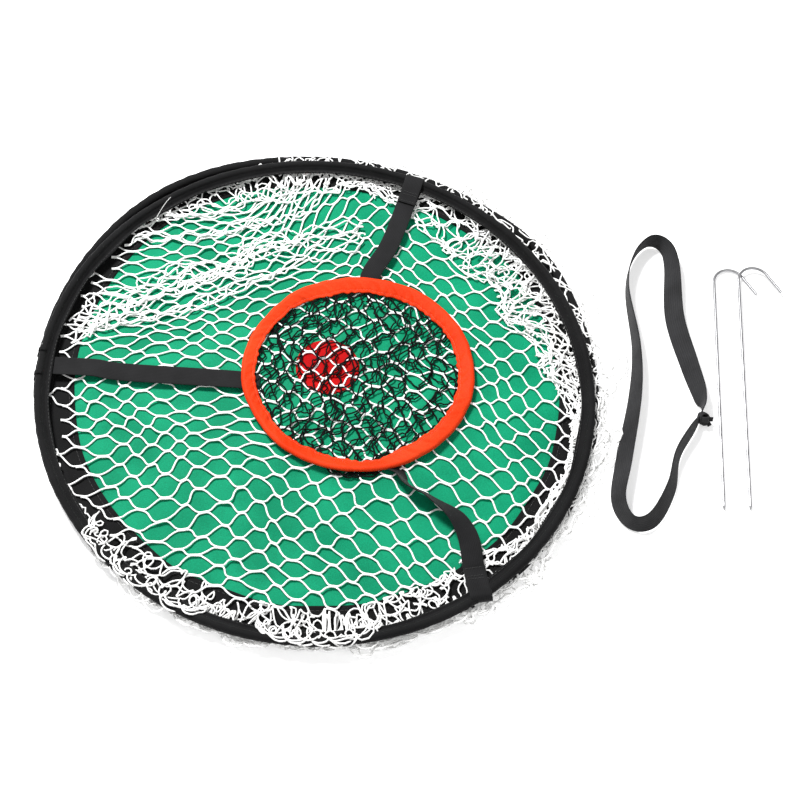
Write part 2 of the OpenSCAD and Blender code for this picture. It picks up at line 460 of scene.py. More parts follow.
def woven(name, dark, light, pitch, roughness):
    """Plain woven cloth: crossing threads, a little uneven in colour and gloss."""
    g = Graph(name)
    over = g.add("TexChecker", Vector=g.uv, Scale=1 / pitch).outputs["Fac"]
    warp, weft = g.stripes(pitch, "X"), g.stripes(pitch, "Y")
    weave = g.scaled(warp, over, g.math("MULTIPLY", weft, g.math("SUBTRACT", 1.0, over)))
    blotch = g.noise(25.0, 3.0)
    tone = g.weighted(blotch, 0.75, weave)
    fluff = g.bump(g.noise(2500.0, 1.0), 0.00006)
    rough = g.scaled(blotch, 0.12, roughness - 0.06)
    return g.finish(g.colours(tone, dark, light, 0.25, 0.75), rough, g.bump(weave, 0.00012, 0.8, fluff),
                    Sheen_Weight=0.05, Sheen_Roughness=0.4, Specular_IOR_Level=0.13)


def satin(name, dark, light, roughness=0.6):
    """Satin: fine slanting floats, a little uneven in tone and nearly without shine."""
    g = Graph(name)
    twill = g.add("VectorRotate", Vector=g.uv, Angle=math.radians(63)).outputs["Vector"]
    floats = g.stripes(0.55, "X", twill)
    blotch = g.noise(15.0, 3.0)
    speck = g.noise(900.0, 2.0)
    tone = g.weighted(blotch, 0.6, speck)
    rough = g.scaled(speck, 0.15, roughness - 0.07)
    return g.finish(g.colours(tone, dark, light, 0.39, 0.61), rough, g.bump(floats, 0.00006, 0.6),
                    Sheen_Weight=0.004, Sheen_Roughness=0.35, Anisotropic=0.3, Specular_IOR_Level=0.06)


def webbing(name, dark, light, rib=1.6, roughness=0.72):
    """Ribbed tape: ribs along its length crossed by fine picks."""
    g = Graph(name)
    ribs, picks = g.stripes(rib, "Y"), g.stripes(0.7, "X")
    weave = g.weighted(ribs, 0.55, picks)
    tone = g.weighted(g.noise(40.0, 3.0), 0.7, weave)
    fluff = g.bump(g.noise(2200.0, 1.0), 0.00006)
    return g.finish(g.colours(tone, dark, light, 0.25, 0.75), roughness,
                    g.bump(weave, 0.00016, 0.9, fluff), Sheen_Weight=0.06, Sheen_Roughness=0.5,
                    Specular_IOR_Level=0.13)


def cord(name, dark, light, lay=2.4, soft=0.0, depth=0.0002, sheen=0.08, gloss=0.25):
    """Twisted netting yarn: strands laid at a slant, with a fuzzy uneven tone."""
    g = Graph(name)
    split = g.add("SeparateXYZ", (g.uv,))
    slant = g.scaled(split.outputs["X"], 2 * math.pi / lay, g.math("MULTIPLY", split.outputs["Y"], 2.0))
    lay_wave = g.scaled(g.math("SINE", slant), 0.5, 0.5)
    tone = g.weighted(g.noise(120.0, 3.0), 0.5, lay_wave)
    return g.finish(g.colours(tone, dark, light, 0.15, 0.6), 0.7, g.bump(lay_wave, depth, 0.7),
                    Sheen_Weight=sheen, Specular_IOR_Level=gloss, Subsurface_Weight=soft,
                    Subsurface_Radius=(0.002, 0.002, 0.002))


def drawn_steel(name, dark, light, roughness):
    """Bare wire, a little uneven in brightness and faintly scratched."""
    g = Graph(name)
    streaks = g.noise(14.0, 5.0)
    scratch = g.noise(700.0, 2.0)
    rough = g.scaled(scratch, 0.14, roughness)
    return g.finish(g.colours(streaks, dark, light), rough, g.bump(scratch, 0.00003, 0.5),
                    Metallic=1.0, Anisotropic=0.5)


GREEN = satin("green_satin_look", (0.001, 0.180, 0.086), (0.005, 0.270, 0.134))
RED = satin("red_satin_look", (0.33, 0.001, 0.002), (0.50, 0.003, 0.004))
ORANGE = satin("orange_satin_look", (0.6, 0.03, 0.004), (0.76, 0.055, 0.012), roughness=0.55)
BORDER_CLOTH = woven("border_cloth_look", (0.002, 0.002, 0.002), (0.008, 0.008, 0.0085), 0.9, 0.8)
BINDING_CLOTH = woven("binding_cloth_look", (0.002, 0.002, 0.0022), (0.009, 0.009, 0.0095), 0.8, 0.75)
TAPE = webbing("webbing_look", (0.004, 0.004, 0.0043), (0.012, 0.012, 0.013))
ELASTIC = webbing("elastic_look", (0.012, 0.012, 0.0125), (0.032, 0.032, 0.034), rib=2.2, roughness=0.8)
WHITE_CORD = cord("white_cord_look", (0.80, 0.80, 0.79), (0.95, 0.95, 0.94), soft=0.1, depth=0.00009)
BLACK_CORD = cord("black_cord_look", (0.0015, 0.0015, 0.0015), (0.006, 0.006, 0.006), lay=1.8, sheen=0.005,
                  gloss=0.07)
BLACK_THREAD = cord("black_thread_look", (0.01, 0.01, 0.01), (0.05, 0.05, 0.05), lay=1.0)
ORANGE_THREAD = cord("orange_thread_look", (0.6, 0.03, 0.02), (1.0, 0.16, 0.08), lay=1.0)
RED_THREAD = cord("red_thread_look", (0.4, 0.0, 0.0), (0.8, 0.02, 0.02), lay=1.0)
PEG_STEEL = drawn_steel("peg_steel_look", (0.27, 0.27, 0.28), (0.5, 0.5, 0.51), 0.27)
SPRING_STEEL = drawn_steel("spring_steel_look", (0.3, 0.3, 0.31), (0.55, 0.55, 0.57), 0.3)
CRIMP_METAL = drawn_steel("crimp_look", (0.6, 0.6, 0.62), (0.85, 0.85, 0.87), 0.35)


# ---- cloth base

swell = Ripple(3, 120)
crease = Ripple(11, 46)


def cloth_height(x, y):
    """Height of the green cloth's top over the ground, with its soft swells and creases."""
    r = np.hypot(x, y)
    soft = 0.5 * swell(x, y) + 0.42 * crease(x * 0.6 + y * 0.5, y - 0.3 * x) + 0.8
    return PANEL_TOP + np.clip(soft, 0.0, 2.2) * smooth((PANEL_R - r) / 40)


def backboard():
    """The round green cloth, as a closed sheet."""
    angle = np.linspace(0, 360, 240, endpoint=False)
    r_top = np.concatenate([np.linspace(2.0, PANEL_R, 84), [PANEL_R]])
    rings = []
    for k, r in enumerate(r_top):
        ring = BASE.at(angle, r, 0.0)
        if k < len(r_top) - 1:
            ring[:, 2] = cloth_height(ring[:, 0], ring[:, 1])
        rings.append(ring)
    rings.append(BASE.at(angle, 2.0, 0.0))
    grid = np.array(rings)
    n_v = len(angle)
    quads, i, j = grid_faces(len(grid), n_v, False, True)
    uv = corner_uvs(lambda a, b: grid[i + a, (j + b) % n_v, :2])
    last = (len(grid) - 1) * n_v
    faces = quads.tolist() + [list(range(n_v))[::-1], list(range(last, last + n_v))]
    uv = np.concatenate([uv, grid[0][::-1, :2], grid[-1][:, :2]])
    obj = make_mesh("backboard_cloth", grid.reshape(-1, 3), faces, uv, GREEN)
    place(obj, "base", "green_panel")


def target_patch():
    """The red target patch, lying on the green cloth, with its edge turned under and stitched."""
    low, high = box_mm("target_dot")
    middle, radius = (low[:2] + high[:2]) / 2, (high[0] - low[0]) / 2
    angle = np.radians(np.linspace(0, 360, 144, endpoint=False))
    edge = 1 + 0.006 * np.sin(9 * angle + 1) + 0.004 * np.sin(17 * angle)
    # Part of the radius and part of the height, out over the top, round the edge and back under
    steps = [(0.02, 1.0), *[(f, 1.0) for f in np.linspace(0.1, 0.94, 16)], (0.975, 0.85),
             (1.0, 0.3), (0.995, -0.1), (0.9, -0.12), (0.02, -0.12)]

    def around(r, height):
        x, y = middle[0] + r * np.cos(angle), middle[1] + r * np.sin(angle)
        return np.stack([x, y, cloth_height(x, y) + height], -1)

    grid = []
    for f, lift in steps:
        pucker = 0.12 * np.sin(31 * angle) * smooth((f - 0.6) / 0.4) * (lift > 0)
        grid.append(around(radius * f * edge, 0.15 + 0.5 * lift + pucker))
    patch = sheet("target_patch", np.array(grid).transpose(1, 0, 2), RED, closed_u=True)
    place(patch, "base", "target_dot")
    path = around(radius - 2.2, 0.62)
    thread = stitches("target_patch_stitches", np.vstack([path, path[:1]]), (0, 0, 0.25), RED_THREAD, 2.4,
                      1.2, 0.22)
    place(thread, "base")


def round_shell(name, hoop, section, material, steps=720):
    """A sewn tube round a hoop: section(angle) gives closed outlines as radius and height."""
    angle = np.linspace(0, 360, steps, endpoint=False)
    r, z = section(angle[:, None])
    return sheet(name, hoop.at(angle[:, None], r, z), material, closed_u=True, closed_v=True)


def border():
    """The flat black border, gathered a little at both of its seams."""
    gather = RoundRipple(21, 2.6)
    drift = RoundRipple(22, 24)
    r_out = BASE.r - 5.5
    top = np.linspace(0, 1, 18)[None]

    def section(a):
        r_in = BORDER_IN + 0.5 * drift(a)
        r_top = mix(r_in + 0.4, r_out, top)
        near_seam = hump(top, 0, 0.22) + hump(top, 1, 0.25)
        sag = 0.125 * np.sin(math.pi * top) * drift(a + 90)
        z_top = BORDER_TOP + 0.28 + 0.2 * gather(a) * near_seam + sag - 0.3 * hump(r_top, BORDER_IN + 5, 1.4)
        return (outline(a, r_top, r_out, r_in + 4, r_in),
                outline(a, z_top, 0.62, PANEL_TOP + 0.05, BORDER_TOP - 0.45))

    cloth = round_shell("border_cloth", BASE, section, BORDER_CLOTH)
    place(cloth, "base", "base_border")
    round_stitches("border_stitches", BASE, BORDER_IN + 5 + 0.5 * drift(ROUND), BORDER_TOP + 0.12,
                   "base")


def binding():
    """The tunnel sewn over the base hoop: puckered cloth round the wire and a flat lip."""
    pucker, drift = RoundRipple(31, 3.2), RoundRipple(32, 17)
    lip_in = BASE.r - 13.5
    lip_top = BORDER_TOP + 0.55
    turn = np.radians(np.linspace(-90, 222, 26))[None]
    join_at = HINGE_ANGLE + 4

    def section(a):
        overlap = between(a, join_at, join_at + 5, 0.25)
        size = BASE.bead - 0.1 + (0.14 * pucker(a) + 0.12 * drift(a)) * (0.5 + 0.5 * np.cos(turn - 1))
        size = np.minimum(size + 0.35 * overlap, BASE.bead + 0.3)
        r_bead = BASE.r + size * np.cos(turn)
        z_bead = BASE.bead + np.minimum(size, BASE.bead) * np.sin(turn)
        fall = np.linspace(0.12, 1, 9)[None]
        r_lip = mix(BASE.r - 4.1, lip_in + 0.3 * drift(a), fall)
        groove = -0.35 * hump(fall, 0.35, 0.12)
        z_lip = lip_top + groove + 0.16 * pucker(a + 4) * np.sin(math.pi * fall) + 0.3 * overlap
        return (outline(a, r_bead, r_lip, lip_in - 0.3, lip_in + 0.4, BASE.r - 6),
                outline(a, z_bead, z_lip, lip_top - 0.7, 0.03, 0.02))

    cloth = round_shell("base_binding", BASE, section, BINDING_CLOTH, 900)
    place(cloth, "base", "base_hoop_binding")
    round_stitches("binding_stitches", BASE, BASE.r - 7.1, lip_top - 0.2, "base")


# ---- upper hoop and target ring

BUMP_ANGLE = 42.0        # the ferrule shows as a bump in the upper sleeve here
UPPER_FLAP = 10.0
RING_FLAP = 12.0
RING_TUNNEL_POINTS = 15


def upper_sleeve():
    """The upper hoop's sleeve: a soft tunnel over the wire and a flat stitched flap."""
    pucker, drift = RoundRipple(41, 3.6), RoundRipple(42, 21)
    turn = np.radians(np.linspace(-95, 170, 22))[None]

    def section(a):
        ferrule = bump_at(a, BUMP_ANGLE, 2.6)
        size = UPPER.bead - 0.15 + 0.13 * pucker(a) * (0.5 + 0.5 * np.sin(turn + 0.8)) + 0.12 * drift(a)
        size = size + 0.9 * ferrule * np.clip(np.cos(turn - 0.6), 0, 1)
        r_bead = UPPER.r + size * np.cos(turn)
        z_bead = UPPER.z + size * np.sin(turn)
        fall = np.linspace(0.1, 1, 10)[None]
        width = UPPER_FLAP + 0.6 * drift(a + 60)
        r_flap = UPPER.r - mix(4.1, width, fall)
        drop = UPPER.low + 2.1 + 2.2 * (1 - smooth(fall / 0.45))
        z_flap = drop + 0.16 * pucker(a + 9) * np.sin(math.pi * fall) + 0.15 * drift(a) * fall
        z_flap = z_flap - 0.35 * hump(fall, 0.52, 0.08)
        r_end = UPPER.r - width
        under = UPPER.low + 0.15 * drift(a)
        return (outline(a, r_bead, r_flap, r_end - 0.3, r_end + 0.8, UPPER.r - 5),
                outline(a, z_bead, z_flap, under + 1.2, under + 0.25, under + 0.1))

    cloth = round_shell("upper_sleeve", UPPER, section, BINDING_CLOTH, 900)
    place(cloth, "upper_hoop", "upper_hoop_sleeve")
    round_stitches("upper_sleeve_stitches", UPPER, UPPER.r - 9.2, UPPER.low + 1.95,
                   "upper_hoop")


def ring_roll(a):
    """How far the ring's face is rolled out of flat, in degrees: up at the lower right."""
    return 34 * between(a, -58, -24, 22) + 10 * between(a, 150, 200, 30) - 10 * bump_at(a, -100, 14)


def ring_width(a):
    return RING_FLAP - 2.5 * between(a, 140, 215, 30) + 1.5 * between(a, 60, 110, 30) - 3 * bump_at(a, -84, 9)


def ring_outline(a, fine, pucker, drift):
    """Closed outline of the ring's sleeve: half a tunnel outside, a broad sloping face inside."""
    turn = np.radians(np.linspace(-100, 88, RING_TUNNEL_POINTS))[None]
    size = RING.bead - 0.3 + 0.2 * pucker(a) * (0.5 + 0.5 * np.sin(turn))
    x_bead, z_bead = size * np.cos(turn), 0.82 * size * np.sin(turn)
    fall = np.linspace(0.08, 1, 16)[None]
    width = ring_width(a) + 0.3 * fine(a + 30) + 0.3 * pucker(a)
    x_face = -mix(0.0, width, fall)
    z_face = mix(0.8 * RING.bead, 1.9 - RING.bead, fall ** 1.15)
    crinkle = 0.2 * fine(a + 6 * fall) + 0.22 * pucker(a + 50 + 6 * fall)
    z_face = z_face + crinkle * np.sin(math.pi * fall * 0.8) + 0.22 * fine(a) * fall ** 2
    z_face = z_face - 0.4 * hump(fall, 0.8, 0.05)
    z_under = np.array([[1.1, 0.5, 0.2]]) - RING.bead + 0.3 * fine(a) * [[1, 1, 0.2]]
    x = outline(a, x_bead, x_face, -width - 0.3, -width + 0.8, -5)
    z = outline(a, z_bead, z_face, z_under)
    x, z = turned(x, z, -np.radians(ring_roll(a)))
    return RING.r + 0.5 * drift(a) + x, RING.z + z + 0.3


def ring_sleeve():
    """The orange target ring: puckered cloth over the wire, its flap rolled here and there."""
    pucker, fine, drift = RoundRipple(51, 13), RoundRipple(52, 5), RoundRipple(53, 40)
    cloth = round_shell("ring_sleeve_cloth", RING, lambda a: ring_outline(a, fine, pucker, drift), ORANGE)
    place(cloth, "target_ring", "ring_sleeve")
    angle = np.linspace(0, 360, 720)
    r, z = ring_outline(angle[:, None], fine, pucker, drift)
    seam = RING_TUNNEL_POINTS + 12
    path = RING.at(angle, r[:, seam], z[:, seam] + 0.1)
    thread = stitches("ring_stitches", path, (0, 0, 0.25), ORANGE_THREAD, 2.2, 1.2, 0.2)
    place(thread, "target_ring")


# ---- white netting

BAR = 20.6               # cord length between two knots of the netting
CORD_R = 0.95
SUBSTEPS = 8             # points to each bar


def knot_wave(phase, flat=0.12):
    """A zigzag with rounded, slightly flattened turns at whole numbers of phase."""
    return (np.cos(math.pi * phase) - flat * np.cos(3 * math.pi * phase)) / (1 - flat)


net_shift_x, net_shift_y = Ripple(61, 120), Ripple(62, 120)
net_wiggle_x, net_wiggle_y = Ripple(63, 44), Ripple(64, 40)
net_fine_x, net_fine_y = Ripple(65, 13), Ripple(66, 13)
net_lift = Ripple(67, 30)


def first_row(x):
    """The cord across the middle: level on the left, falling away on the right."""
    return -20 + 4 * smooth((x + 240) / 200) - 72 * smooth((x - 20) / 290)


def row_pitch(x, y):
    """Distance between neighbouring cords of the netting over the backboard."""
    up, down = smooth((y + 20) / 80), smooth((-70 - y) / 70)
    left = 9.7 - 2.4 * up + 0.7 * down
    right = 12.0 - 1.6 * up * smooth((x - 60) / 120) + 0.5 * down
    return mix(left, right, smooth((x + 120) / 250))


# Folds of the netting: two ends of the fold line, and how much netting is folded away
FOLDS = [((-292, 34), (20, 172), 30), ((-276, 58), (34, 202), 26), ((-268, 158), (30, 232), 30),
         ((-240, 186), (10, 250), 18)]


def fold_net(x, y, z):
    """Pulls netting over itself along the fold lines, three layers thick."""
    for (x0, y0), (x1, y1), amount in FOLDS:
        along = np.array([x1 - x0, y1 - y0], float)
        length = np.linalg.norm(along)
        along /= length
        s = ((x - x0) * along[0] + (y - y0) * along[1]) / length
        d = -(x - x0) * along[1] + (y - y0) * along[0]
        strength = smooth(s / 0.12) * (1 - smooth((s - 0.7) / 0.35))
        wander = 7 * np.sin(5 * s + amount) + 3 * np.sin(17 * s)
        ramp = smooth((d + wander + 9) / 18)
        pull = amount * strength * ramp
        x = x + along[1] * pull
        y = y - along[0] * pull
        z = z + 3.0 * strength * np.sin(math.pi * ramp) + 1.2 * strength * ramp * (1 - smooth((d - 30) / 30))
    return x, y, z


def net_rest(x, y):
    """Moves even netting to where it lies: slow drift, small irregular pulls, folds."""
    dx = 5 * net_shift_x(x, y) + 1.2 * net_wiggle_x(x, y)
    dy = 4 * net_shift_y(x, y) + 1.0 * net_wiggle_y(x, y)
    x, y = x + dx, y + dy
    z = 1.9 + 0.6 * net_lift(x, y)
    x, y, z = fold_net(x, y, z)
    x = x + 0.3 * net_fine_x(x, y)
    y = y + 0.3 * net_fine_y(x, y)
    return x, y, z


def net_floor():
    """The netting over the backboard: cords zigzag along X and overlap at the knots."""
    half = 1.25 * NET_R
    phase_n = int(2 * half / (BAR * 0.8)) * SUBSTEPS + 1
    phase = np.arange(phase_n) / SUBSTEPS
    x = np.zeros(phase_n)
    x[0] = -half
    for i in range(1, phase_n):
        pitch = float(row_pitch(x[i - 1], -20.0))
        x[i] = x[i - 1] + math.sqrt(BAR ** 2 - pitch ** 2) / SUBSTEPS
    rows = {0: first_row(x)}
    for k in range(44):
        rows[k + 1] = rows[k] + row_pitch(x, rows[k])
        rows[-k - 1] = rows[-k] - row_pitch(x, rows[-k])
    rim = RoundRipple(68, 9)
    strands = []
    for k in range(-43, 44):
        wave = knot_wave(phase + k)
        up, down = rows[k + 1] - rows[k], rows[k] - rows[k - 1]
        reach = np.where(wave > 0, up, down) / 2 - 0.55
        sx, sy, sz = net_rest(x, rows[k] + wave * reach)
        r = np.hypot(sx, sy)
        angle = np.degrees(np.arctan2(sy, sx))
        near_rim = smooth((r - BORDER_IN + 4) / 14)
        ground = np.where(r > BORDER_IN - 2, BORDER_TOP + 0.4, cloth_height(sx, sy))
        sz = ground + CORD_R + 0.7 + np.maximum(sz - 1.9, -0.2) + 0.5 * near_rim
        inside = r < np.minimum(NET_R + 7 + 4 * rim(angle), BASE.r - 7)
        strands += runs(np.stack([sx, sy, sz], -1), whole_bars(inside))
    obj = cords("catch_net", strands, CORD_R, WHITE_CORD, flat=0.85)
    place(obj, "base", "catch_net_floor")


def whole_bars(inside):
    """Where to keep a cord so that it ends at knots: both knots of each kept bar are inside."""
    knots = inside[::SUBSTEPS]
    keep = np.zeros(len(inside), bool)
    for bar in np.flatnonzero(knots[:-1] & knots[1:]):
        keep[bar * SUBSTEPS: (bar + 1) * SUBSTEPS + 1] = True
    return keep


def runs(points, keep):
    """The unbroken stretches of a strand where keep is true, if they are four points or more."""
    edges = np.flatnonzero(np.diff(np.concatenate([[False], keep, [False]]).astype(int)))
    return [points[a:b] for a, b in zip(edges[::2], edges[1::2]) if b - a >= 4]


# ---- slack netting between the two hoops

WALL_PITCH = 13.0        # distance between neighbouring cords, along the wall's height
WALL_CORD_R = 0.84
WALL_BARS = 2 * round(math.pi * BASE.r / math.sqrt(BAR ** 2 - WALL_PITCH ** 2))
CURL_LENGTH = 19.0       # distance along the hoop from one curl to the next
# How far the slack netting lies inwards and outwards, at angles round the base hoop
REACH = [(-75, 244, 288), (-56, 238, 291), (-38, 255, 292), (-12, 256, 296), (3, 226, 299),
         (14, 208, 300), (33, 199, 300), (53, 207, 299), (66, 226, 297), (80, 236, 289), (104, 229, 275),
         (125, 238, 271), (145, 259, 269), (206, 264, 269), (216, 247, 272), (230, 242, 278), (270, 246, 284)]


def wall_height(angle):
    """Height of the opened wall at an angle round the base hoop."""
    p = BASE.at(angle, BASE.r, BASE.z) - HINGE_AT
    along = (p * HINGE_AXIS).sum(-1, keepdims=True) * HINGE_AXIS
    return np.linalg.norm(p - along, axis=-1) * HINGE_OPEN


def upper_edge(angle):
    """Radius, about the base's centre, of the upper sleeve's inner edge."""
    a = np.radians(angle)
    out = np.stack([np.cos(a), np.sin(a)], -1)
    c = UPPER.centre - BASE.centre
    r = UPPER.r - UPPER_FLAP
    b = out @ c
    return b + np.sqrt(np.maximum(b * b - c @ c + r * r, 0))


PLEATS = 12              # turns that the slack netting can make between the hoops
inner_ends = [RoundRipple(200 + i, 22) for i in range(PLEATS)]
outer_ends = [RoundRipple(300 + i, 20) for i in range(PLEATS)]


def reach_at(angle):
    """The slack netting's inner and outer radius at an angle."""
    table = np.array(REACH, float)
    return [np.interp(angle, table[:, 0], table[:, k], period=360) for k in (1, 2)]


def bunched(angle):
    """1 on the side away from the hinge, where most of the slack is, and 0 near the hinge."""
    return between(angle, -70, 78, 20)


def pass_end(i, angle):
    """Radius where pleat number i turns: even ones turn outside, odd ones inside."""
    inner, outer = reach_at(angle)
    if i % 2:
        short = 0.22 * (i // 2 % 2) * bunched(angle)
        spread = 2 + 0.1 * (upper_edge(angle) - inner)
        return mix(inner, upper_edge(angle), short) + spread * inner_ends[i](angle)
    spread = 1.5 + 0.12 * (outer - 268)
    return np.minimum(outer - 4 + spread * outer_ends[i](angle), 318)


def wall_section(angle, s, height):
    """Radius, height over the ground and part of the way up, s mm up the bunched netting."""
    lap = s / mix(64, 150, bunched(angle))
    n = np.clip(np.floor(lap).astype(int), 0, PLEATS - 2)
    f = lap - n
    ends = np.array([pass_end(i, angle) for i in range(PLEATS)])
    ends[0] = BASE.r - 6
    col = np.arange(len(angle))
    hidden = upper_edge(angle) + 8
    # Part of each pleat that shows beside the sleeve; less of it in front and at the back
    sparse = between(angle, 206, 292, 14) + between(angle, 90, 140, 14)
    shown = mix(0.36, 0.42, bunched(angle)) - 0.13 * sparse
    leave, arrive = smooth(1 - f / shown), smooth((f - 1 + shown) / shown)
    r = hidden + (ends[n, col] - hidden) * leave + (ends[n + 1, col] - hidden) * arrive
    t = s / height
    to_edge = smooth((s - height + 26) / 26)
    r = mix(r, upper_edge(angle) + 3, to_edge)
    stack = 2.4 + 6.2 * t
    over_bead = np.exp(-(np.abs(r - BASE.r) / 7.5) ** 4)
    z = mix(stack, np.maximum(stack, BASE.top + 0.6), over_bead)
    outside = smooth((r - BASE.r - 6) / 8)
    z = mix(z, 1.1 + 5.5 * t, outside)
    return r, mix(z, UPPER.low + 0.1, to_edge), t


def soft_floor(value, lowest):
    """Keeps a value above a limit, rounding it off over about 6 before the limit."""
    over = value - lowest
    return lowest + (over + np.sqrt(over ** 2 + 36)) / 2


def curl_size(angle):
    """Radius of the curls that slack cords make: largest over the front border."""
    front = between(angle, 204, 296, 14)
    back = between(angle, 84, 130, 12)
    right = between(angle, -40, 66, 20)
    return 1.4 + 3.2 * front + 2.6 * back + 1.7 * right


wall_drift_r, wall_drift_a = Ripple(71, 85), Ripple(72, 70)
wall_size = Ripple(76, 34)
wall_fine_r, wall_fine_a, wall_fine_z = Ripple(73, 17), Ripple(74, 17), Ripple(75, 30)


def net_wall(name, first_bar, last_bar, substeps):
    """Part of the netting that joins the hoops, bunched flat, with as much of it as the opened wall is high.
    """
    phase = np.arange(first_bar * substeps, last_bar * substeps + 1) / substeps
    angle = phase / WALL_BARS * 360
    along = np.radians(angle) * BASE.r
    height = wall_height(angle)
    strands, weights = [], []
    for k in range(int(height.max() / WALL_PITCH) + 1):
        s = k * WALL_PITCH + knot_wave(phase + k) * (WALL_PITCH / 2 - 0.55)
        keep = (s < height + 3) & (height > 8)
        s = np.clip(s, 0, height)
        r, z, t = wall_section(angle, s, np.maximum(height, 1))
        slack = np.sqrt(4 * s * (height - s)) / np.maximum(height, 1)
        turn = 2 * math.pi * along / CURL_LENGTH + 2.1 * k + 1.9 * wall_drift_a(1.3 * along, 2 * s)
        curl = curl_size(angle) * (1 + 0.4 * wall_size(along, 3 * s))
        r = r + (3.4 * wall_drift_r(along, s) + 0.8 * wall_fine_r(along, s) + curl * np.cos(turn)) * slack
        da = (4.5 * wall_drift_a(along, s) + 0.8 * wall_fine_a(along, s) + curl * np.sin(turn)) * slack
        r = soft_floor(r, reach_at(angle)[0] - 3)
        z = np.maximum(z + 0.7 * wall_fine_z(along, s) * slack, WALL_CORD_R + 0.1)
        points = ROUND_BASE.at(angle + np.degrees(da / BASE.r), r, z)
        for part in runs(np.column_stack([points, t]), keep):
            strands.append(part[:, :3])
            weights.append(part[:, 3])
    obj = slack_cords(name, strands)
    blend_by_weight(obj)
    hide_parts("catch_net_wall")


def net_walls():
    """All of the slack netting; the large curls over the front border need more points to a bar."""
    first, last = round(WALL_BARS * 192 / 360), round(WALL_BARS * 302 / 360)
    net_wall("catch_net_wall_front", first, last, 2 * SUBSTEPS)
    net_wall("catch_net_wall_far", last - WALL_BARS, first, SUBSTEPS)


# Folded-over netting at the back left: middle of each fold, its width, and a noise seed
STREAMS = [([(-268, 46), (-200, 86), (-126, 121), (-60, 148), (9, 172), (60, 182)], 38, 401),
           ([(-244, 176), (-190, 192), (-132, 204), (-60, 222), (10, 236)], 20, 402)]

# Netting that spills over the front of the upper hoop: its two angles, reach and noise seed
SPILLS = [(217, 249, 15, 411), (259, 284, 13, 412)]


def slack_cords(name, strands):
    return cords(name, strands, WALL_CORD_R, WHITE_CORD, sides=5, flat=0.9)


def net_spills():
    """Curled loops of the slack netting that lie over the upper hoop's sleeve."""
    strands = []
    for start, end, reach, seed in SPILLS:
        length = np.radians(end - start) * UPPER.r
        drift, size = Ripple(seed, 40), Ripple(seed + 10, 30)
        for k in range(5):
            u = np.linspace(0, 1, int(length / 1.3))
            along = u * length
            out = 8 + reach * (k + 0.5) / 5
            r = UPPER.r - 16 + out * np.sin(math.pi * u) ** 0.5 + 3.5 * drift(along, 41 * k)
            turn = 2 * math.pi * along / (17 + 4 * (k % 3)) + 1.9 * k + 2.0 * drift(along, 60 + 33 * k)
            curl = (4.6 + 2.0 * size(along, 45 * k)) * smooth(8 * u) * smooth(8 - 8 * u)
            r = r + curl * np.cos(turn)
            angle = start + (end - start) * u + np.degrees(curl * np.sin(turn) / UPPER.r)
            from_wire = np.abs(r - UPPER.r)
            on_top = UPPER.z + 1.4 + np.sqrt(np.maximum((UPPER.bead + 0.4) ** 2 - from_wire ** 2, 0))
            rest = np.where(r > UPPER.r, 8.0, UPPER.z - 1.2)
            z = np.maximum(on_top * (from_wire < UPPER.bead), rest)
            z = np.convolve(np.pad(z, 3, mode="edge"), np.ones(7) / 7, mode="valid")
            strands.append(UPPER.at(angle, r, z + 0.35 * k / 2 + 0.3 * np.cos(turn + 1)))
    place(slack_cords("catch_net_spills", strands), "upper_hoop")


def folded_streams():
    """Extra layers of stretched netting where it lies folded over itself."""
    strands = []
    for line, width, seed in STREAMS:
        path = curve(line, 10)
        along = distances(path)
        shift, wide, lean = Ripple(seed, 46), Ripple(seed + 10, 90), Ripple(seed + 20, 70)
        kink = Ripple(seed + 30, 15)
        for layer, pitch in enumerate((7.4, 9.6)):
            bar = math.sqrt(BAR ** 2 - pitch ** 2)
            phase = np.arange(int(along[-1] / bar) * SUBSTEPS + 1) / SUBSTEPS
            u = phase * bar
            x, y = (np.interp(u, along, path[:, k]) for k in (0, 1))
            out = unit(np.stack([-np.gradient(y), np.gradient(x)], -1))
            taper = 0.5 + 0.5 * np.sin(math.pi * np.clip(u / along[-1], 0.03, 0.97)) ** 0.7
            count = int(width / pitch)
            for k in range(count):
                v = (k - (count - 1) / 2) * pitch + knot_wave(phase + k) * (pitch / 2 - 0.5)
                v = v * taper * (1 + 0.15 * wide(u, 40 * layer)) + 6 * lean(u, 90 * layer)
                v = v + 1.6 * shift(u, v + 60 * layer) + 1.1 * kink(u, v + 50 * layer)
                slide = u + 2.4 * shift(v + 30 * layer, u) + 0.9 * kink(v + 80 * layer, u)
                px, py = np.interp(slide, u, x) + v * out[:, 0], np.interp(slide, u, y) + v * out[:, 1]
                z = cloth_height(px, py) + 3.4 + 1.1 * layer + 0.5 * shift(u + 200, v)
                inside = np.hypot(px, py) < NET_R + 1
                strands += runs(np.stack([px, py, z], -1), whole_bars(inside))
    place(slack_cords("catch_net_folds", strands), "base")


def blend_by_weight(obj):
    """Bakes the object's placement into its mesh."""
    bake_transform(obj)


# ---- black pocket net

POCKET_CORD_R = 0.8


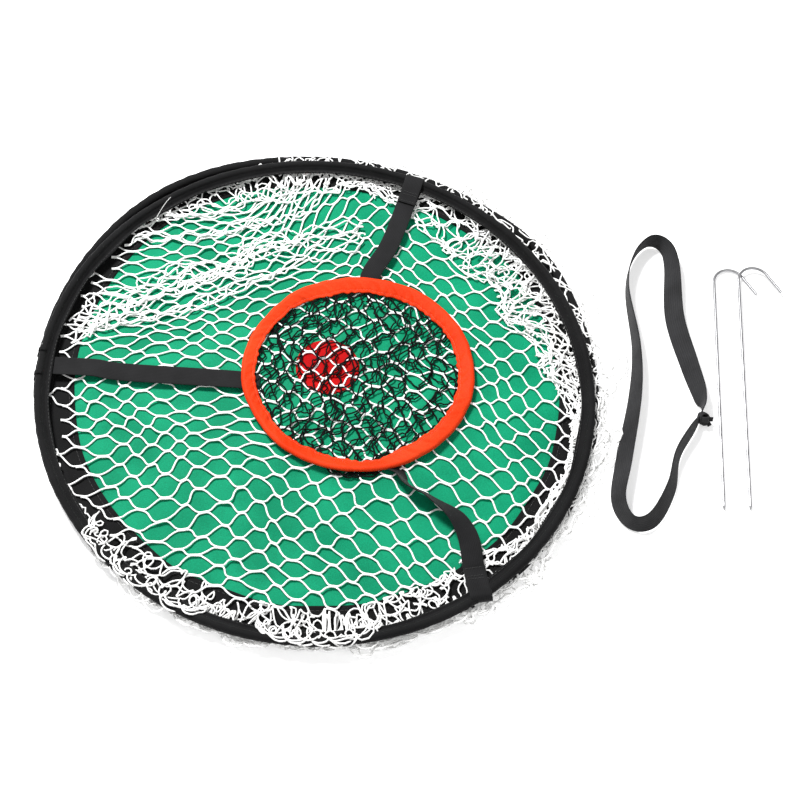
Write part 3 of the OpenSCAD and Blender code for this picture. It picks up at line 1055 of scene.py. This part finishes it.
def pocket_net():
    """The black net inside the ring: thin crinkled cord in small, uneven meshes."""
    bar, pitch = 14.5, 6.4
    step = math.sqrt(bar ** 2 - pitch ** 2)
    low, high = box_mm("pocket_net")
    reach = (high[0] - low[0]) / 2 - 1.5
    n = 2 * int(1.25 * reach / step)
    phase = np.arange(n * SUBSTEPS + 1) / SUBSTEPS
    slow_u, slow_v = Ripple(81, 60), Ripple(82, 60)
    kink_u, kink_v = Ripple(83, 19), Ripple(84, 17)
    fine_u, fine_v, lift = Ripple(85, 8), Ripple(86, 8), Ripple(87, 18)
    strands = []
    for layer, turn in enumerate(np.radians([82, 56])):
        for k in range(-19, 20):
            if layer and k % 3:
                continue
            u = (phase - n / 2) * step
            v = k * pitch + knot_wave(phase + k, 0.0) * (pitch / 2 - 0.3)
            u = u + 4 * slow_u(u + 90 * layer, v) + 1.5 * kink_u(u, v + 40 * layer)
            v = v + 4 * slow_v(u, v + 70 * layer) + 1.5 * kink_v(u + 50 * layer, v)
            u, v = u + 0.9 * fine_u(u, v), v + 0.9 * fine_v(u, v)
            x, y = turned(u, v, turn)
            r = np.hypot(x, y)
            z = 4.7 + 0.6 * lift(x, y + 30 * layer) + 0.5 * layer
            z = np.minimum(z, mix(9, 3.9, smooth((r - reach + 16) / 10)))
            pts = np.stack([x + RING.centre[0], y + RING.centre[1], z], -1)
            strands += runs(pts, r < reach)
    obj = cords("pocket_net_cords", strands, POCKET_CORD_R, BLACK_CORD, sides=5)
    place(obj, "target_ring", "pocket_net")


def pocket_tuft():
    """A little of the pocket net that has slipped out under the front of the ring."""
    rng = np.random.default_rng(91)
    strands = []
    for k in range(9):
        a = np.radians(-91 + 17 * (k / 8 - 0.5) + rng.uniform(-2, 2) + np.linspace(-7, 7, 26))
        t = np.linspace(0, 1, 26)
        r = 108 + (5 + 6 * rng.random()) * np.sin(math.pi * t) + 1.2 * np.sin(9 * t + k)
        z = 3.6 + 1.6 * np.sin(math.pi * t) * rng.random() + 0.3 * np.sin(13 * t + 2 * k)
        strands.append(RING.at(np.degrees(a), r, z))
    obj = cords("pocket_net_tuft", strands, POCKET_CORD_R, BLACK_CORD, sides=5)
    place(obj, "target_ring")


# ---- straps and hinge loops

def sideways(angle):
    """Level direction at right angles to an angle in degrees."""
    a = math.radians(angle)
    return np.array([-math.sin(a), math.cos(a), 0.0])


def strap_loop(hoop_angle, skew):
    """Path of a strap's sewn end: from its stitched tail, round the hoop and back inwards."""
    top, low = UPPER.top + 0.75, UPPER.low - 0.8
    side = [(-30, low + 2.6), (-22, low + 3.4), (-12, low + 6.2), (-4, top - 0.9), (1, top),
            (4.2, UPPER.z + 2.6), (5, UPPER.z), (4.2, UPPER.z - 2.8), (1, low), (-8, low - 0.1),
            (-20, low), (-32, low + 0.4)]
    p = curve(side, 6)
    return along_strap(hoop_angle, skew, p[:, 0], p[:, 1])


def along_strap(hoop_angle, skew, out, z):
    """Points at a distance out from the hoop's wire along a strap's sewn end, and a height."""
    a = math.radians(hoop_angle + skew)
    start = UPPER.at(hoop_angle, UPPER.r, 0.0)
    return np.column_stack([start[0] + out * math.cos(a), start[1] + out * math.sin(a), z])


def strap(name, node, hoop_angle, skew, looped, route, rolls):
    """One strap, sewn to the upper hoop at one end, along its route to the ring."""
    flat = sideways(hoop_angle + skew)
    if looped:
        loop = strap_loop(hoop_angle, skew)
        run = curve(np.vstack([loop[-1:], route]), 12)
        path = np.vstack([loop[:-1], run])
    else:
        loop = np.zeros((1, 3))
        path = run = curve(route, 12)
    t = tangents(path)
    level = np.cross(t, UP)
    if looped:
        level[: len(loop)] = -flat
    level = unit(level)
    for i in range(1, len(level)):
        if (level[i] * level[i - 1]).sum() < 0:
            level[i] = -level[i]
    roll = np.interp(np.arange(len(path)), len(loop) + np.linspace(0, len(run) - 1, len(rolls)), rolls)
    roll = np.radians(roll)[:, None]
    across = level * np.cos(roll) + np.cross(t, level) * np.sin(roll)
    tape = ribbon(name, path, across, STRAP_W, STRAP_T, TAPE)
    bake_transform(tape)
    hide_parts(node)
    if not looped:
        return
    rows = []
    for inward in (17.0, 20.0, 28.0):
        row = np.linspace(-STRAP_W / 2 + 2, STRAP_W / 2 - 2, 12)[:, None] * flat
        row = row + along_strap(hoop_angle, skew, np.array([-inward]), 0.0)
        row[:, 2] = UPPER.low + 0.6 + np.interp(inward, [12, 22, 30], [5.4, 2.6, 1.8])
        rows.append(stitches(name + "_row", row, (0, 0, 0.35), BLACK_THREAD, 2.2, 0.9, 0.25))
    thread = join(name + "_stitches", rows)
    place(thread, "upper_hoop")


# Each strap's route to the ring is a few places in mm, and its rolls in degrees are spread along it
def straps():
    under = RING.low - 0.6
    strap("strap_left_tape", "strap_left", HINGE_ANGLE, 0, False,
          [(-262, 2.8, 9.9), (-247, 2.6, 9.6), (-220, 2.1, 8.4), (-193, -1.9, 7.8), (-115, -5.6, 7.2),
           (-80, -7.1, 6.6), (-66, -7.5, under + 1), (-56, -8, under)],
          [0, 0, 0, 2, 0, -2, 0, 0])
    strap("strap_upper_tape", "strap_upper", 67, 3, True,
          [(83.3, 179.7, 9.6), (73.2, 153.9, 9.0), (58.2, 127.8, 7.8), (53, 114, under + 1.4),
           (49, 100, under)],
          [0, 3, 0, -3, 0, 0])
    strap("strap_lower_tape", "strap_lower", -56, -25, True,
          [(144, -184, 12.0), (141, -170, 12.5), (134, -156, 13.0), (125, -147, 13.5), (114, -139, 14.0),
           (104, -131.5, 14.0), (94, -126.5, 14.0), (87, -121, 13.0), (82, -112, 9.0),
           (79, -104, under + 1.5), (76, -94, under)],
          [0, 0, 14, 32, 50, 60, 63, 64, 62, 30, 0])


def hinge_loops():
    """Short webbing loops beside the left strap that hold the upper hoop to the base hoop."""
    offset, width, thick = 13.5, 4.0, 0.5
    swing = math.degrees(offset / UPPER.r)
    parts = []
    for side in (-1, 1):
        angle = HINGE_ANGLE + side * swing
        p = UPPER.at(angle, UPPER.r, 0.0)
        out = BASE.r - np.hypot(*p[:2])
        r_top, r_base = UPPER.bead + 1.3, BASE.bead + 0.6
        outside = np.vstack([arc(0, UPPER.z, r_top, 122, -18, 15), arc(out, BASE.z, r_base, 38, -34, 8)])
        between_hoops = arc(0, UPPER.z, r_top, 238, 318, 9)
        for k, loop in enumerate((outside, between_hoops)):
            q = curve(loop, 3)
            path = UPPER.at(angle, UPPER.r + q[:, 0], q[:, 1])
            across = np.broadcast_to(sideways(angle), path.shape)
            parts.append(ribbon(f"hinge_part_{side}_{k}", path, across, width, thick, BINDING_CLOTH))
    obj = join("hinge_loop_tapes", parts)
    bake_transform(obj)
    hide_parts("hinge_loops")


# ---- loose accessories

# Storage band: x and y of its middle and how far it is rolled on edge, in degrees, going round
BAND = [(379, -46, 80), (352, -88, 70), (341, -125, 58), (321, -157, 55), (300, -161, 72), (290, -137, 56),
        (299, -95, 43), (316, -25, 57), (322, 31, 75), (319, 99, 90), (329, 139, 90), (347, 160, 91),
        (363, 155, 108), (369, 132, 130), (366, 69, 155), (374, 12, 140), (380, -25, 118)]
BAND_W = 20.0
BAND_T = 1.3
KNOT_AT = np.array([381.0, -50.0])


def storage_band():
    """The elastic band: a twisting loop of tape whose ends meet in a knot."""
    rows = curve(BAND, 16, closed=True)
    roll = np.radians(rows[:, 2])[:, None]
    pinch = 1 - 0.55 * np.exp(-((rows[:, :2] - KNOT_AT) ** 2).sum(1) / 11 ** 2)
    half = BAND_W / 2 * pinch
    rest = 0.6 + BAND_T / 2 + half * np.abs(np.sin(roll[:, 0]))
    path = np.column_stack([rows[:, :2], rest])
    t = tangents(path, closed=True)
    level = unit(np.cross(t, UP))
    across = level * np.cos(roll) + UP * np.sin(roll)
    tape = ribbon("storage_band_tape", path, across, 2 * half, BAND_T, ELASTIC, closed=True, slack=False)
    turn = np.linspace(0, 2 * math.pi, 40, endpoint=False)
    centre = np.append(KNOT_AT, 7.0)
    wraps = []
    for k, (tilt, size) in enumerate(((0.5, 5.0), (2.0, 4.8), (-0.6, 4.4))):
        x, y = turned(size * np.cos(turn), 0.8 * size * np.sin(turn), tilt)
        ring = np.column_stack([x, y, 0.9 * size * np.sin(turn + 1.2 * k)]) + centre
        normal = unit(ring - centre)
        across = np.cross(tangents(ring, True), normal)
        wraps.append(ribbon(f"knot_{k}", ring, across, 6.5, 1.8, ELASTIC, closed=True, slack=False))
    for k, (dx, dy, dz) in enumerate(((9, -1.0, 0.5), (6, -6.5, -3))):
        tail = curve([centre, centre + [4, 0.5 * dy, 0.6 * dz], centre + [dx, dy, dz]], 6)
        across = np.broadcast_to([0.2, 0.4, 1.0], tail.shape)
        wraps.append(ribbon(f"tail_{k}", tail, across, 5.5, 1.6, ELASTIC, slack=False))
    obj = join("storage_band_tape", [tape, *wraps])
    place(obj, "band", "storage_band")


def hoop_wires():
    """The spring wires in the three sleeves, each with the crimped tube that joins its ends."""
    for label, hoop, body, start in (("base", BASE, "base", -140), ("upper", UPPER, "upper_hoop", BUMP_ANGLE),
                                     ("ring", RING, "target_ring", 100)):
        node = "ring_wire" if label == "ring" else label + "_hoop_wire"
        path = hoop.at(start + np.linspace(0.2, 359.8, 361), hoop.r, hoop.z)
        wire = cords(label + "_spring_wire", [path], WIRE_R, SPRING_STEEL, sides=10)
        half = math.degrees(12 / hoop.r)
        path = hoop.at(start + np.linspace(-half, half, 14), hoop.r, hoop.z)
        ends = np.array([1.75, 2.4, 2.5, 2.5, 2.2, 2.5, 2.5, 2.5, 2.5, 2.2, 2.5, 2.5, 2.4, 1.75])
        tube = cords(label + "_crimp_tube", [path], [ends], CRIMP_METAL, sides=12)
        for piece, stands_for, finish in ((wire, node, "spring_steel"),
                                          (tube, label + "_wire_ferrule", "crimp_sleeve")):
            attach(piece, body)
            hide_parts(stands_for)


def carried_over():
    """Materials of the CAD pieces that are shown as they are."""
    for node in ("ground_peg_1", "ground_peg_2"):
        obj = bpy.data.objects[node]
        obj.data.materials.clear()
        obj.data.materials.append(PEG_STEEL)


def loose_thread():
    """A cut end of yarn that lies from the netting up onto the upper sleeve."""
    t = np.linspace(0, 1, 16)
    r = UPPER.r - 12 + 9 * t
    z = UPPER.low + 3.2 + (2 * UPPER.bead - 2.4) * smooth((t - 0.15) / 0.75)
    thread = UPPER.at(131 - 5.2 * t + 0.3 * np.sin(5 * t), r, z)
    obj = cords("loose_thread", [thread], 0.25, WHITE_CORD, sides=5)
    place(obj, "upper_hoop")


# ---- studio

# The camera was fitted to the two hoops' outlines; places are in metres
CAMERA_TARGET = Vector((0.0839, -0.0253, 0.0))
CAMERA_HEIGHT = math.radians(61.26)
CAMERA_DISTANCE = 1.2
CAMERA_LENS = 54.34
# Name, place, size in metres and power in watts
LIGHTS = (("key_light", (-0.55, 0.8, 1.6), 0.4, 57), ("fill_light", (1.0, -1.1, 1.4), 1.8, 11))
LIT_POINT = Vector((0.05, 0, 0))
WORLD_STRENGTH = 0.4
FLOOR_GLOW = 0.4         # keeps shadows on the floor as faint as in the photo


def studio():
    """Pale floor, soft light from all round, and the camera."""
    bpy.ops.mesh.primitive_plane_add(size=8, location=(0.08, 0, -0.0006))
    floor = bpy.context.object
    floor.name = "studio_floor"
    g = Graph("floor_look")
    grain = g.noise(3.0, 2.0)
    pale = g.colours(grain, (0.9, 0.9, 0.9), (0.94, 0.94, 0.94))
    floor.data.materials.append(g.finish(pale, 0.9, g.bump(grain, 0.0001, 0.1),
                                         Emission_Color=(1, 1, 1, 1), Emission_Strength=FLOOR_GLOW))

    scene = bpy.context.scene
    world = bpy.data.worlds.new("soft_world")
    scene.world = world
    world.use_nodes = True
    sky = world.node_tree.nodes["Background"].inputs
    sky["Color"].default_value = (1, 1, 1, 1)
    sky["Strength"].default_value = WORLD_STRENGTH
    scene.view_settings.view_transform = "Standard"

    for name, spot, size, power in LIGHTS:
        data = bpy.data.lights.new(name, "AREA")
        data.size = size
        data.energy = power
        lamp = bpy.data.objects.new(name, data)
        lamp.location = spot
        lamp.rotation_euler = (LIT_POINT - lamp.location).to_track_quat("-Z", "Y").to_euler()
        scene.collection.objects.link(lamp)

    data = bpy.data.cameras.new("photo_camera")
    data.sensor_width = 36
    data.lens = CAMERA_LENS
    camera = bpy.data.objects.new("photo_camera", data)
    back = Vector((0, -math.cos(CAMERA_HEIGHT), math.sin(CAMERA_HEIGHT)))
    camera.location = CAMERA_TARGET + CAMERA_DISTANCE * back
    camera.rotation_euler = (CAMERA_TARGET - camera.location).to_track_quat("-Z", "Y").to_euler()
    scene.collection.objects.link(camera)
    scene.camera = camera


backboard()
target_patch()
border()
binding()
upper_sleeve()
ring_sleeve()
net_floor()
folded_streams()
net_walls()
net_spills()
pocket_net()
pocket_tuft()
straps()
hinge_loops()
storage_band()
loose_thread()
hoop_wires()
carried_over()
studio()
